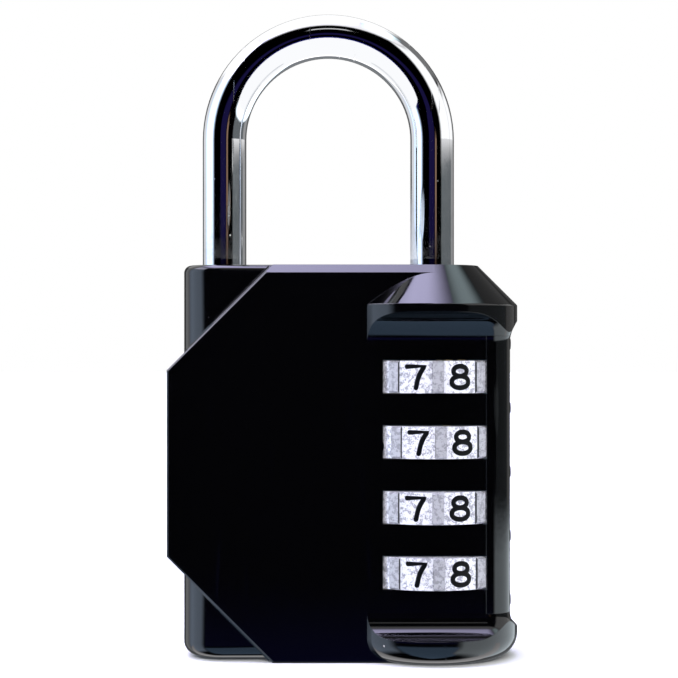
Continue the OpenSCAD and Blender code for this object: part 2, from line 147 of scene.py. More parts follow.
def paint(name, text, default):
    """A colour in linear light."""
    return FloatVectorProperty(
        name=name, description=text, default=default, size=3, min=0.0, max=1.0, subtype="COLOR"
    )


class PADLOCK_PG_enamel(bpy.types.PropertyGroup):
    """The gloss enamel on the casting."""

    colour: paint("Colour", "Colour of the enamel", (0.0006, 0.0006, 0.0008))
    dust_colour: paint("Dust colour", "Colour of the dust that has settled", (0.35, 0.34, 0.33))
    gloss_low: share("Smoothest", "Roughness where the enamel is smoothest", 0.035)
    gloss_high: share("Dullest", "Roughness where the enamel is handled most", 0.085)
    peel: length("Orange peel", "Height of the waves that the spray leaves", 0.0022 * MM, high=0.1 * MM)
    edge_soft: length("Soft edge", "Radius that the enamel gives sharp edges", 0.07 * MM, high=1 * MM)


class PADLOCK_PG_chrome(bpy.types.PropertyGroup):
    """The chrome plate on the shackle."""

    colour: paint("Colour", "Colour of the chrome", (0.83, 0.84, 0.86))
    gloss: share("Polished", "Roughness of the polished bow", 0.045)
    scuffed: share("Scuffed", "Roughness of the legs where they slide in the body", 0.07)
    scuff_height: length("Scuffed length", "How far up the legs the scuffing reaches", 17 * MM, high=0.1)


class PADLOCK_PG_dials(bpy.types.PropertyGroup):
    """The satin dials and their numbers."""

    colour: paint("Colour", "Colour of the satin plating", (0.8, 0.8, 0.83))
    pit_colour: paint("Pit colour", "Colour of the dull pits in the plating", (0.15, 0.15, 0.18))
    # rib_shade sets painted shade: it darkens the ribs to stand in for light they don't catch, not wear
    rib_shade: share("Rib shade", "Brightness of the worn ribs against the facets", 0.34)
    # This black is also the painted shade on the dials' upright walls
    fill_and_shade_colour: paint("Fill colour", "Colour of the paint in the numbers", (0.001, 0.001, 0.0012))
    facet_r: length("Facet radius", "Radius that the numbers lie on", 8.75 * MM, high=0.1)
    number_h: length("Number height", "Height of the numbers", 3.25 * MM, high=0.1)
    number_w: length("Number width", "Width of the numbers", 2.8 * MM, high=0.1)
    pen: length("Pen", "Width of the numbers' strokes", 0.64 * MM, high=MM)
    proud: length("Paint height", "How far the paint stands out of the facets", 0.03 * MM, high=MM)
    depth: length("Paint depth", "How far the paint reaches into the facets", 0.05 * MM, high=MM)
    play: StringProperty(
        name="Rest angles", description="Degrees that each dial rests past its click", default="2 4.2 2 2.8"
    )


class PADLOCK_PG_fillets(bpy.types.PropertyGroup):
    """The fillets of enamel where the panel steps down to its corner blocks."""

    fillet: length("Panel fillet", "Radius of the fillet round the panel", 0.3 * MM, high=MM)
    recess: length("Block recess", "Depth of the corner blocks behind the panel", 0.9 * MM, high=0.01)
    inset: length("Block inset", "Distance of the blocks inside the panel's edge", 1.7 * MM, high=0.01)
    round: length("Block round", "Radius of the blocks' upright edges", 4.8 * MM, high=0.01)
    cut: length("Panel cut", "Length that each corner takes off the panel", 12.9 * MM, high=0.1)
    steps: IntProperty(name="Steps", description="Steps round each quarter turn", default=14, min=3, max=64)


class PADLOCK_PG_studio(bpy.types.PropertyGroup):
    """The studio: camera, floor and the light round the object."""

    distance: length("Distance", "Distance from the camera to the object's middle", 240 * MM, high=10)
    eye_x: length("Eye across", "Place of the camera across the object", -0.64 * MM, -1, 1)
    eye_z: length("Eye height", "Height of the camera", 39.4 * MM, -1, 1)
    lens: FloatProperty(
        name="Lens", description="Focal length", default=101.947, min=1, max=1000, subtype="DISTANCE_CAMERA"
    )
    floor_colour: paint("Floor", "Colour of the floor", (0.9, 0.9, 0.9))
    top_light: share("Top light", "Strength of the softbox overhead", 10.0, high=100)
    card_level: share("Card", "Strength of the white card under the bow", 1.15, high=100)
    side_light: share("Side light", "Strength of the light from the left", 2.1, high=100)


# ---------------------------------------------------------------- node helpers


class Nodes:
    """Adds and joins nodes in one tree."""

    def __init__(self, tree):
        self.tree = tree
        self.column = 0

    def add(self, kind, values=None, **settings):
        """A node of that kind. values sets sockets, by name or number, to constants or nodes' outputs."""
        node = self.tree.nodes.new(kind)
        self.column += 1
        node.location = (200 * (self.column % 12), -260 * (self.column // 12))
        for name, value in settings.items():
            setattr(node, name, value)
        for key, value in (values or {}).items():
            if isinstance(value, bpy.types.NodeSocket):
                self.tree.links.new(value, node.inputs[key])
            else:
                node.inputs[key].default_value = value
        return node

    def math(self, operation, first, second=0.0, third=0.0, clamp=False):
        """The result of one sum."""
        values = {0: first, 1: second, 2: third}
        return self.add("ShaderNodeMath", values, operation=operation, use_clamp=clamp).outputs[0]

    def ramp(self, value, low, high, to_low=0.0, to_high=1.0):
        """value from low to high, eased in and out, as to_low to to_high."""
        node = self.add(
            "ShaderNodeMapRange",
            {"Value": value, "From Min": low, "From Max": high, "To Min": to_low, "To Max": to_high},
            interpolation_type="SMOOTHSTEP",
        )
        return node.outputs["Result"]

    def mix(self, amount, first, second):
        """One colour turning into another."""
        node = self.add("ShaderNodeMix", {0: amount, 6: first, 7: second}, data_type="RGBA")
        return node.outputs[2]

    def noise(self, vector, scale, detail=2.0, roughness=0.5):
        """A cloudy value about a half."""
        node = self.add(
            "ShaderNodeTexNoise",
            {"Vector": vector, "Scale": scale, "Detail": detail, "Roughness": roughness},
        )
        return node.outputs["Fac"]

    def turned(self, vector, turn, stretch):
        """The vector turned and stretched."""
        node = self.add("ShaderNodeMapping", {"Vector": vector, "Rotation": turn, "Scale": stretch})
        return node.outputs[0]


def group(name, inputs, outputs):
    """A new node group with those sockets, its helper and the node that brings its inputs in."""
    tree = bpy.data.node_groups.new(name, "ShaderNodeTree")
    for label, kind, default in inputs:
        socket = tree.interface.new_socket(label, in_out="INPUT", socket_type=kind)
        if default is not None:
            socket.default_value = default
    for label, kind in outputs:
        tree.interface.new_socket(label, in_out="OUTPUT", socket_type=kind)
    nodes = Nodes(tree)
    return nodes, nodes.add("NodeGroupInput").outputs


def put_out(nodes, **values):
    """Ends a group with those outputs."""
    nodes.add("NodeGroupOutput", {name.replace("_", " "): value for name, value in values.items()})
    return nodes.tree


def surface_drift():
    """Slow change over the surface, such as where hands have polished or dulled it."""
    nodes, given = group(
        "Surface drift",
        [("Vector", "NodeSocketVector", None), ("Size", "NodeSocketFloat", 100.0),
         ("Low", "NodeSocketFloat", 0.0), ("High", "NodeSocketFloat", 1.0)],
        [("Value", "NodeSocketFloat")],
    )
    wide = nodes.noise(given["Vector"], given["Size"], 3.0)
    fine = nodes.noise(given["Vector"], nodes.math("MULTIPLY", given["Size"], 6.3), 2.0)
    both = nodes.math("MULTIPLY_ADD", fine, 0.35, nodes.math("MULTIPLY", wide, 0.65))
    return put_out(nodes, Value=nodes.ramp(both, 0.35, 0.65, given["Low"], given["High"]))


def fine_scratches():
    """Hair-thin scratches in three directions, as a mask."""
    nodes, given = group(
        "Fine scratches",
        [("Vector", "NodeSocketVector", None), ("Size", "NodeSocketFloat", 1.0),
         ("Amount", "NodeSocketFloat", 0.5)],
        [("Mask", "NodeSocketFloat")],
    )
    edge = nodes.math("MULTIPLY_ADD", given["Amount"], -0.1, 0.74)
    total = None
    directions = (((0.3, 0.9, 0.4), 2600.0), ((1.2, -0.5, 2.1), 1900.0), ((-0.8, 0.2, -1.1), 3300.0))
    for turn, across in directions:
        vector = nodes.turned(given["Vector"], turn, (across, across * 0.06, across * 0.05))
        sized = nodes.add("ShaderNodeVectorMath", {0: vector, "Scale": given["Size"]}, operation="SCALE")
        line = nodes.noise(sized.outputs[0], 1.0, 1.0)
        lines = nodes.ramp(line, edge, nodes.math("ADD", edge, 0.035))
        total = lines if total is None else nodes.math("MAXIMUM", total, lines)
    return put_out(nodes, Mask=total)


def dust_specks():
    """Sparse specks of dust, each its own size, as a mask."""
    nodes, given = group(
        "Dust specks",
        [("Vector", "NodeSocketVector", None), ("Size", "NodeSocketFloat", 500.0),
         ("Amount", "NodeSocketFloat", 0.05)],
        [("Mask", "NodeSocketFloat")],
    )
    cells = nodes.add("ShaderNodeTexVoronoi", {"Vector": given["Vector"], "Scale": given["Size"]})
    pick = nodes.add("ShaderNodeSeparateColor", {0: cells.outputs["Color"]})
    chosen = nodes.math("LESS_THAN", pick.outputs[0], given["Amount"])
    reach = nodes.math("MULTIPLY_ADD", pick.outputs[1], 0.09, 0.03)
    speck = nodes.ramp(cells.outputs["Distance"], reach, nodes.math("MULTIPLY", reach, 0.6))
    return put_out(nodes, Mask=nodes.math("MULTIPLY", speck, chosen))


def cast_grain():
    """The mottled grain of plated castings: pits as a mask, and a height."""
    nodes, given = group(
        "Cast grain",
        [("Vector", "NodeSocketVector", None), ("Size", "NodeSocketFloat", 2500.0),
         ("Amount", "NodeSocketFloat", 0.5)],
        [("Pits", "NodeSocketFloat"), ("Height", "NodeSocketFloat")],
    )
    coarse = nodes.noise(given["Vector"], given["Size"], 4.0, 0.6)
    fine = nodes.noise(given["Vector"], nodes.math("MULTIPLY", given["Size"], 3.1), 3.0, 0.6)
    height = nodes.math("MULTIPLY_ADD", fine, 0.4, nodes.math("MULTIPLY", coarse, 0.6))
    edge = nodes.math("MULTIPLY_ADD", given["Amount"], 0.14, 0.36)
    pits = nodes.ramp(height, edge, nodes.math("SUBTRACT", edge, 0.09))
    return put_out(nodes, Pits=pits, Height=height)


GROUPS = {}


def effect(nodes, name, **values):
    """The outputs of a shared effect, placed in a material with its own values."""
    makers = {
        "Surface drift": surface_drift,
        "Fine scratches": fine_scratches,
        "Dust specks": dust_specks,
        "Cast grain": cast_grain,
    }
    if name not in GROUPS:
        GROUPS[name] = makers[name]()
    return nodes.add("ShaderNodeGroup", values, node_tree=GROUPS[name]).outputs


def material(name):
    """A new material, its node helper, its Object coordinates and its Principled shader."""
    made = bpy.data.materials.new(name)
    made.use_nodes = True
    made.node_tree.nodes.clear()
    nodes = Nodes(made.node_tree)
    where = nodes.add("ShaderNodeTexCoord").outputs["Object"]
    shader = nodes.add("ShaderNodeBsdfPrincipled")
    nodes.add("ShaderNodeOutputMaterial", {"Surface": shader.outputs[0]})
    return made, nodes, where, shader


def feed(nodes, shader, **values):
    """Sets or joins the shader's sockets, each name written with underscores."""
    for name, value in values.items():
        socket = shader.inputs[name.replace("_", " ")]
        if isinstance(value, bpy.types.NodeSocket):
            nodes.tree.links.new(value, socket)
        else:
            socket.default_value = value


def solid(colour):
    """A colour with full alpha."""
    return (*colour, 1.0)


def relief(nodes, height, distance, normal=None, strength=1.0):
    """A bumped normal."""
    values = {"Strength": strength, "Distance": distance, "Height": height}
    if normal is not None:
        values["Normal"] = normal
    return nodes.add("ShaderNodeBump", values).outputs[0]


def wear(made, *names):
    """Gives those CAD nodes one material."""
    for name in names:
        for slot in NODES[name].material_slots:
            slot.link = "OBJECT"
            slot.material = made


def unmirrored(*objects):
    """Keeps those pieces out of the enamel's gloss, where the studio's front light makes them too bright."""
    for obj in objects:
        obj.visible_glossy = False


# ---------------------------------------------------------------- finishes


def black_enamel(sizes):
    """Gloss black enamel over cast zinc, with orange peel, faint hairlines and dust."""
    made, nodes, where, shader = material("black_gloss_enamel")
    dust = effect(nodes, "Dust specks", Vector=where, Size=420.0, Amount=0.05)["Mask"]
    hairs = effect(nodes, "Fine scratches", Vector=where, Size=0.35, Amount=0.12)["Mask"]
    drift = effect(
        nodes, "Surface drift", Vector=where, Size=110.0, Low=sizes.gloss_low, High=sizes.gloss_high
    )["Value"]
    rough = nodes.math("MULTIPLY_ADD", hairs, 0.12, drift)
    rough = nodes.math("MAXIMUM", rough, nodes.math("MULTIPLY", dust, 0.9))
    edge = nodes.add("ShaderNodeBevel", {"Radius": sizes.edge_soft}, samples=6).outputs[0]
    peel = relief(nodes, nodes.noise(where, 900.0, 1.0), sizes.peel, edge)
    lumps = relief(nodes, dust, 0.03 * MM, peel)
    feed(
        nodes, shader,
        Base_Color=nodes.mix(dust, solid(sizes.colour), solid(sizes.dust_colour)),
        Roughness=rough, Normal=lumps, IOR=1.52,
    )
    return made


def chrome_plate(sizes):
    """Polished chrome, scuffed low on both legs where they slide in the body."""
    made, nodes, where, shader = material("chrome_plate")
    height = nodes.add("ShaderNodeSeparateXYZ", {0: where}).outputs["Z"]
    low = nodes.ramp(height, BODY_TOP + sizes.scuff_height, BODY_TOP, 0.0, 1.0)
    blotch = effect(nodes, "Surface drift", Vector=where, Size=420.0, Low=0.0, High=1.0)["Value"]
    worn = nodes.math("MULTIPLY", low, nodes.math("MULTIPLY_ADD", blotch, 0.7, 0.3))
    hairs = effect(nodes, "Fine scratches", Vector=where, Size=0.5, Amount=0.2)["Mask"]
    nicks = effect(nodes, "Fine scratches", Vector=where, Size=0.24, Amount=0.75)["Mask"]
    dings = effect(nodes, "Dust specks", Vector=where, Size=620.0, Amount=0.6)["Mask"]
    cuts = nodes.math("MAXIMUM", nodes.math("MULTIPLY", nicks, low), nodes.math("MULTIPLY", hairs, 0.5))
    cuts = nodes.math("MAXIMUM", cuts, nodes.math("MULTIPLY", dings, low))
    drift = effect(
        nodes, "Surface drift", Vector=where, Size=160.0, Low=sizes.gloss * 0.6, High=sizes.gloss * 1.4
    )["Value"]
    rough = nodes.math("MULTIPLY_ADD", worn, sizes.scuffed, drift)
    rough = nodes.math("MULTIPLY_ADD", cuts, 0.4, rough, clamp=True)
    tone = nodes.mix(nodes.math("MULTIPLY", worn, 0.5), solid(sizes.colour), (0.5, 0.51, 0.53, 1.0))
    feed(
        nodes, shader, Base_Color=tone, Metallic=1.0, Roughness=rough,
        Normal=relief(nodes, cuts, -0.02 * MM),
    )
    return made


def satin_plate(sizes):
    """Satin plating on the cast dials, mottled, with dull pits, and painted shade on the ribs and their
    upright walls.
    """
    made, nodes, where, shader = material("satin_dial_plate")
    grain = effect(nodes, "Cast grain", Vector=where, Size=1900.0, Amount=1.15)
    hairs = effect(nodes, "Fine scratches", Vector=where, Size=0.8, Amount=0.5)["Mask"]
    drift = effect(nodes, "Surface drift", Vector=where, Size=300.0, Low=0.36, High=0.52)["Value"]
    tone = nodes.mix(nodes.math("MULTIPLY", grain["Pits"], 0.7), solid(sizes.colour), solid(sizes.pit_colour))

    spoke = nodes.add("ShaderNodeVectorMath", {0: where, 1: (DIAL_X, 0, 0)}, operation="SUBTRACT")
    spoke = nodes.add("ShaderNodeVectorMath", {0: spoke.outputs[0], 1: (1, 1, 0)}, operation="MULTIPLY")
    reach = nodes.add("ShaderNodeVectorMath", {0: spoke.outputs[0]}, operation="LENGTH").outputs["Value"]
    # Painted shade on the ribs: a mask by distance from the dial's axis darkens their colour
    rib_foot, rib_full = sizes.facet_r + 0.04 * MM, sizes.facet_r + 0.12 * MM
    rib = nodes.ramp(reach, rib_foot, rib_full)
    shaded = tuple(part * sizes.rib_shade for part in sizes.colour)
    tone = nodes.mix(nodes.math("MULTIPLY", rib, nodes.math("MULTIPLY_ADD", grain["Pits"], 0.3, 0.7)),
                     tone, solid(shaded))

    # Painted shade on the ribs' upright walls: faces that stand upright but don't face out from the axis are
    # darkened to the fill's black
    outward = nodes.add("ShaderNodeVectorMath", {0: spoke.outputs[0]}, operation="NORMALIZE").outputs[0]
    facing = nodes.add("ShaderNodeTexCoord").outputs["Normal"]
    lean = nodes.add("ShaderNodeVectorMath", {0: outward, 1: facing}, operation="DOT_PRODUCT")
    level = nodes.add("ShaderNodeSeparateXYZ", {0: facing}).outputs["Z"]
    upright = nodes.ramp(nodes.math("ABSOLUTE", level), 0.5, 0.2)
    wall = nodes.math("MULTIPLY", nodes.ramp(lean.outputs["Value"], 0.6, 0.3), upright)
    tone = nodes.mix(nodes.math("MULTIPLY", wall, 0.9), tone, solid(sizes.fill_and_shade_colour))

    height = nodes.math("MULTIPLY_ADD", hairs, -0.3, grain["Height"])
    feed(
        nodes, shader, Base_Color=tone, Metallic=0.35,
        Roughness=nodes.math("MULTIPLY_ADD", grain["Pits"], 0.15, drift),
        Normal=relief(nodes, height, 0.02 * MM, strength=0.7),
    )
    return made


def number_paint(sizes):
    """Black paint in the numbers, a little uneven."""
    made, nodes, where, shader = material("number_paint")
    grain = effect(nodes, "Cast grain", Vector=where, Size=1800.0, Amount=0.3)
    tone = nodes.mix(grain["Pits"], solid(sizes.fill_and_shade_colour), (0.01, 0.01, 0.011, 1.0))
    rough = effect(nodes, "Surface drift", Vector=where, Size=700.0, Low=0.45, High=0.65)["Value"]
    shader.inputs["Specular IOR Level"].default_value = 0.2
    feed(
        nodes, shader, Base_Color=tone, Roughness=rough,
        Normal=relief(nodes, grain["Height"], 0.01 * MM, strength=0.6),
    )
    return made


def bare_metal(name, colour, stain, rough, turn_scale):
    """Machined metal with turning marks round the dials' axis, stains and scratches."""
    made, nodes, where, shader = material(name)
    moved = nodes.add("ShaderNodeVectorMath", {0: where, 1: (DIAL_X, 0, 0)}, operation="SUBTRACT")
    marks = nodes.noise(nodes.turned(moved.outputs[0], (0, 0, 0), (60, 60, turn_scale)), 1.0, 3.0)
    grain = effect(nodes, "Cast grain", Vector=where, Size=1500.0, Amount=0.4)
    hairs = effect(nodes, "Fine scratches", Vector=where, Size=0.6, Amount=0.5)["Mask"]
    tone = nodes.mix(nodes.math("MULTIPLY", grain["Pits"], 0.6), solid(colour), solid(stain))
    drift = effect(
        nodes, "Surface drift", Vector=where, Size=260.0, Low=rough * 0.75, High=rough * 1.3
    )["Value"]
    height = nodes.math("MULTIPLY_ADD", hairs, -0.4, marks)
    feed(
        nodes, shader, Base_Color=tone, Metallic=1.0,
        Roughness=nodes.math("MULTIPLY_ADD", hairs, 0.1, drift),
        Normal=relief(nodes, height, 0.01 * MM, strength=0.5),
    )
    return made


# ---------------------------------------------------------------- mesh helpers


def piece(name, mesh_maker, body, made, smooth=35.0):
    """One finished object from a bmesh: shaded smooth up to an angle, riding on a body."""
    form = mesh_maker()
    bmesh.ops.remove_doubles(form, verts=form.verts, dist=1e-7)
    bmesh.ops.recalc_face_normals(form, faces=form.faces)
    mesh = bpy.data.meshes.new(name)
    form.to_mesh(mesh)
    form.free()
    mesh.materials.append(made)
    mesh.shade_smooth()
    mesh.set_sharp_from_angle(angle=math.radians(smooth))
    obj = bpy.data.objects.new(name, mesh)
    bpy.context.scene.collection.objects.link(obj)
    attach(obj, body)
    return obj


def shared(name, maker, *arguments):
    """A material that several operators use, made once."""
    return bpy.data.materials.get(name) or maker(*arguments)


# ---------------------------------------------------------------- operators


class PADLOCK_OT_stage(bpy.types.Operator):
    """Lays the floor, lights the studio and places the camera"""

    bl_idname = "padlock.stage"
    bl_label = "Studio"

    def execute(self, context):
        studio = context.scene.padlock_studio
        self.floor(studio)
        self.light(context.scene, studio)
        self.card(context.scene, studio)
        self.camera(context.scene, studio)
        context.scene.view_settings.view_transform = "Standard"
        return {"FINISHED"}

    def floor(self, studio):
        """A pale floor. Gloss doesn't mirror it, because the lights have a part of their own for that."""
        form = bmesh.new()
        bmesh.ops.create_grid(form, x_segments=1, y_segments=1, size=FLOOR_HALF)
        bmesh.ops.translate(form, verts=form.verts, vec=(0, 0, -FLOOR_DROP))
        mesh = bpy.data.meshes.new("floor")
        form.to_mesh(mesh)
        form.free()
        made, nodes, where, shader = material("floor_paper")
        tone = effect(nodes, "Surface drift", Vector=where, Size=3.0, Low=0.97, High=1.0)["Value"]
        feed(
            nodes, shader, Roughness=0.95,
            Base_Color=nodes.mix(tone, (0, 0, 0, 1), solid(studio.floor_colour)),
        )
        shader.inputs["Specular IOR Level"].default_value = 0.0
        mesh.materials.append(made)
        floor = bpy.data.objects.new("floor", mesh)
        floor.visible_glossy = False
        bpy.context.scene.collection.objects.link(floor)

    def light(self, scene, studio):
        """Bright overhead, at the left, behind and below, dark in front, and plain white to the camera."""
        world = bpy.data.worlds.new("studio")
        world.use_nodes = True
        world.node_tree.nodes.clear()
        nodes = Nodes(world.node_tree)
        way = nodes.add("ShaderNodeTexCoord").outputs["Generated"]
        parts = nodes.add("ShaderNodeSeparateXYZ", {0: way}).outputs
        front, down = (nodes.math("MULTIPLY", part, -1.0) for part in (parts[1], parts[2]))

        def degrees(operation, *values):
            """The angle that a sum gives."""
            return nodes.math("MULTIPLY", nodes.math(operation, *values), 180 / math.pi)

        angles = {
            "side": degrees("ARCTAN2", parts[0], front),
            "rise": degrees("ARCSINE", parts[2]),
            "across": degrees("ARCTAN2", parts[0], parts[2]),
            "over": degrees("ARCTAN2", parts[1], parts[2]),
            "under": degrees("ARCTAN2", parts[1], down),
        }
        angles["turn"] = nodes.math("ABSOLUTE", angles["side"])

        def window(value, start, full, fade, end):
            """One inside full to fade, easing to nothing at start and end."""
            fading = nodes.ramp(value, fade, end, 1.0, 0.0)
            return nodes.math("MULTIPLY", nodes.ramp(value, start, full), fading)

        total = (0, 0, 0, 1)
        for _, level, colour, first, first_window, second, second_window in LIGHTS:
            level = getattr(studio, level) if isinstance(level, str) else level
            seen = nodes.math(
                "MULTIPLY", window(angles[first], *first_window), window(angles[second], *second_window)
            )
            lit = nodes.mix(seen, (0, 0, 0, 1), solid(level * part for part in colour))
            total = nodes.add(
                "ShaderNodeMix", {0: 1.0, 6: total, 7: lit}, data_type="RGBA", blend_type="LIGHTEN"
            ).outputs[2]
        seen = nodes.add("ShaderNodeLightPath").outputs["Is Camera Ray"]
        total = nodes.mix(seen, total, (1.0, 1.0, 1.0, 1.0))
        glow = nodes.add("ShaderNodeBackground", {"Color": total})
        nodes.add("ShaderNodeOutputWorld", {"Surface": glow.outputs[0]})
        scene.world = world

        fill = bpy.data.lights.new("front_fill", "AREA")
        fill.shape = "RECTANGLE"
        fill.size, fill.size_y = 0.3, 0.2
        fill.energy = 1.7
        lamp = bpy.data.objects.new("front_fill", fill)
        lamp.location = (-0.03, -0.4, 0.2)
        lamp.rotation_euler = (math.radians(66), 0, 0)
        lamp.visible_glossy = False
        lamp.visible_camera = False
        scene.collection.objects.link(lamp)

    def card(self, scene, studio):
        """A white card, seen only by the gloss of what is above it, that brightens the bow's underside."""
        form = bmesh.new()
        bmesh.ops.create_grid(form, x_segments=1, y_segments=1, size=0.5)
        bmesh.ops.scale(form, verts=form.verts, vec=(*CARD_SIZE, 1))
        bmesh.ops.translate(form, verts=form.verts, vec=(0, CARD_Y, BODY_TOP + CARD_RISE))
        mesh = bpy.data.meshes.new("card")
        form.to_mesh(mesh)
        form.free()
        made = bpy.data.materials.new("card_paper")
        made.use_nodes = True
        made.node_tree.nodes.clear()
        nodes = Nodes(made.node_tree)
        back = nodes.add("ShaderNodeNewGeometry").outputs["Backfacing"]
        glow = nodes.add("ShaderNodeEmission", {"Strength": studio.card_level}).outputs[0]
        clear = nodes.add("ShaderNodeBsdfTransparent").outputs[0]
        shown = nodes.add("ShaderNodeMixShader", {0: back, 1: glow, 2: clear}).outputs[0]
        nodes.add("ShaderNodeOutputMaterial", {"Surface": shown})
        made.cycles.emission_sampling = "NONE"
        mesh.materials.append(made)
        card = bpy.data.objects.new("card", mesh)
        card.visible_camera = False
        card.visible_diffuse = False
        card.visible_shadow = False
        scene.collection.objects.link(card)

    def camera(self, scene, studio):
        """A level camera in front."""
        data = bpy.data.cameras.new("camera")
        data.lens = studio.lens
        data.clip_start = 0.01
        camera = bpy.data.objects.new("camera", data)
        camera.location = (studio.eye_x, -studio.distance, studio.eye_z)
        camera.rotation_euler = (math.pi / 2, 0, 0)
        scene.collection.objects.link(camera)
        scene.camera = camera


class PADLOCK_OT_casting(bpy.types.Operator):
    """Enamels the body, the side cover and the bottom plug"""

    bl_idname = "padlock.casting"
    bl_label = "Enamelled casting"

    def execute(self, context):
        made = shared("black_gloss_enamel", black_enamel, context.scene.padlock_enamel)
        wear(made, "body", "side_cover", "bottom_plug")
        return {"FINISHED"}


class PADLOCK_OT_shackle(bpy.types.Operator):
    """Plates the shackle with chrome"""

    bl_idname = "padlock.shackle"
    bl_label = "Chromed shackle"

    def execute(self, context):
        wear(chrome_plate(context.scene.padlock_chrome), "shackle")
        return {"FINISHED"}


class PADLOCK_OT_dials(bpy.types.Operator):
    """Gives the four dials their satin plating"""

    bl_idname = "padlock.dials"
    bl_label = "Satin dials"

    def execute(self, context):
        wear(satin_plate(context.scene.padlock_dials), *DIAL_NAMES)
        unmirrored(*(NODES[name] for name in DIAL_NAMES))
        return {"FINISHED"}


class PADLOCK_OT_numbers(bpy.types.Operator):
    """Paints the ten numbers on each dial"""

    bl_idname = "padlock.numbers"
    bl_label = "Dial numbers"

    def execute(self, context):
        sizes = context.scene.padlock_dials
        made = number_paint(sizes)
        plays = [float(word) for word in sizes.play.split()]
        if len(plays) != len(DIAL_NAMES):
            raise ValueError("the rest angles need one number for each dial")
        for name, play in zip(DIAL_NAMES, plays):
            low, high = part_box(name)
            middle = (low[2] + high[2]) / 2
            numbers = piece(
                name + "_numbers", lambda: self.ring(sizes, middle, play), "dial_set_" + name[-1],
                made,
            )
            unmirrored(numbers)
        return {"FINISHED"}

    def ring(self, sizes, middle, play):
        """Ten numbers wrapped round a dial."""
        form = bmesh.new()
        for digit in range(DIGITS):
            mesh = self.flat_number(digit, sizes)
            start = len(form.verts)
            form.from_mesh(mesh)
            bpy.data.meshes.remove(mesh)
            form.verts.ensure_lookup_table()
            angle = math.radians(play + FULL_TURN / DIGITS * digit)
            for vert in form.verts[start:]:
                x, y, z = vert.co
                turn = angle + x / sizes.facet_r
                reach = sizes.facet_r + z
                vert.co = (DIAL_X + reach * math.cos(turn), reach * math.sin(turn), middle + y)
        return form

    def flat_number(self, digit, sizes):
        """A flat number, centred, with its face up the Z axis, drawn with a round pen."""
        wide, high = sizes.number_w - sizes.pen, sizes.number_h - sizes.pen
        curve = bpy.data.curves.new("number", "CURVE")
        curve.dimensions = "3D"
        curve.bevel_depth = sizes.pen / 2
        curve.bevel_resolution = 4
        curve.resolution_u = 8
        ends = []
        for closed, points in STROKES[digit]:
            spline = curve.splines.new("BEZIER")
            spline.bezier_points.add(len(points) - 1)
            spline.use_cyclic_u = closed
            for point, (x, y, sharp) in zip(spline.bezier_points, points):
                point.co = ((x - 0.5) * wide, (y - 0.5) * high, 0)
                point.handle_left_type = point.handle_right_type = "VECTOR" if sharp else "AUTO"
            if not closed:
                ends += [spline.bezier_points[0].co.copy(), spline.bezier_points[-1].co.copy()]
        obj = bpy.data.objects.new("number", curve)
        bpy.context.scene.collection.objects.link(obj)
        bpy.context.view_layer.update()
        mesh = bpy.data.meshes.new_from_object(obj.evaluated_get(bpy.context.evaluated_depsgraph_get()))
        bpy.data.objects.remove(obj)
        bpy.data.curves.remove(curve)
        form = bmesh.new()
        form.from_mesh(mesh)
        bmesh.ops.holes_fill(form, edges=[edge for edge in form.edges if edge.is_boundary])
        for end in ends:
            bmesh.ops.create_uvsphere(
                form, u_segments=16, v_segments=8, radius=sizes.pen / 2, matrix=Matrix.Translation(end)
            )
        long = [edge for edge in form.edges if edge.calc_length() > sizes.pen]
        bmesh.ops.subdivide_edges(form, edges=long, cuts=8, use_grid_fill=True)
        flat = (sizes.proud + sizes.depth) / sizes.pen
        lift = Matrix.Translation((0, 0, (sizes.proud - sizes.depth) / 2))
        bmesh.ops.transform(form, matrix=lift @ Matrix.Diagonal((1, 1, flat, 1)), verts=form.verts)
        form.to_mesh(mesh)
        form.free()
        return mesh


